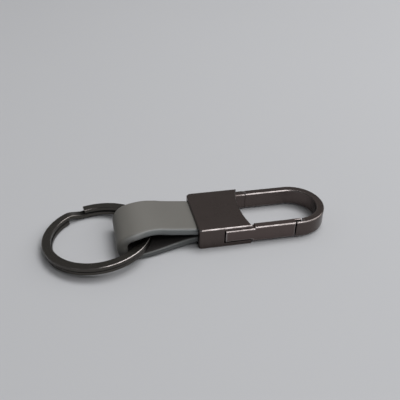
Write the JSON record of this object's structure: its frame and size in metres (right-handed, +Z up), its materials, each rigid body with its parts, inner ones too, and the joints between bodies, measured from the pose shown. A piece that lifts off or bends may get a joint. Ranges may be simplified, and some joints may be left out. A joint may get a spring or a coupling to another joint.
{
  "type": "leather key fob",
  "caption": "Folded leather strap holding a flat-wire split key ring, clamped in a satin metal clasp whose oval hook closes with a sprung gate.",
  "frame": {"origin": "on the clasp body's flat underside, midway across and 7.5 mm in from the strap's mouth, on the surface the fob lies on", "axes": "+X along the fob from the split ring to the hook, -Y towards the gate side, +Z up out of the clasp's top plate"},
  "size_m": [0.0843, 0.0315, 0.0087],
  "materials": {
    "gunmetal": "satin gunmetal plating, bright where edges are bevelled",
    "ring_steel": "satin gunmetal plating on flat spring wire",
    "spring_steel": "plain drawn spring wire",
    "leather": "smooth warm grey leather, edges painted cool grey"
  },
  "bodies": {
    "clasp": {"clasp_body": "gunmetal", "hook_bow": "gunmetal", "bow_pin": "gunmetal", "gate_pin": "gunmetal", "gate_spring": "spring_steel", "strap_screw_front": "gunmetal", "strap_screw_back": "gunmetal"},
    "gate": {"gate": "gunmetal"},
    "strap": {"leather_strap": "leather"},
    "ring": {"split_ring": "ring_steel"}
  },
  "joints": [
    {"name": "gate_swing", "type": "hinge", "parent": "clasp", "child": "gate", "pos_m": [0.0018, -0.008, 0.00317], "axis": [0, 0, 1], "range_deg": [0, 25], "stiffness_Nm_per_rad": 0.05, "springref_deg": -17.19, "deforming": ["gate_spring"]},
    {"name": "strap_bend", "type": "hinge", "parent": "clasp", "child": "strap", "pos_m": [-0.0125, 0, 0.0036], "axis": [0, 1, 0], "range_deg": [-45, 45], "stiffness_Nm_per_rad": 0.08, "deforming": ["leather_strap"]},
    {"name": "ring_turn", "type": "hinge", "parent": "strap", "child": "ring", "pos_m": [-0.03555, -0.00178, 0.00126], "axis": [-0.0701, 0.0389, 0.9968], "continuous": true}
  ]
}
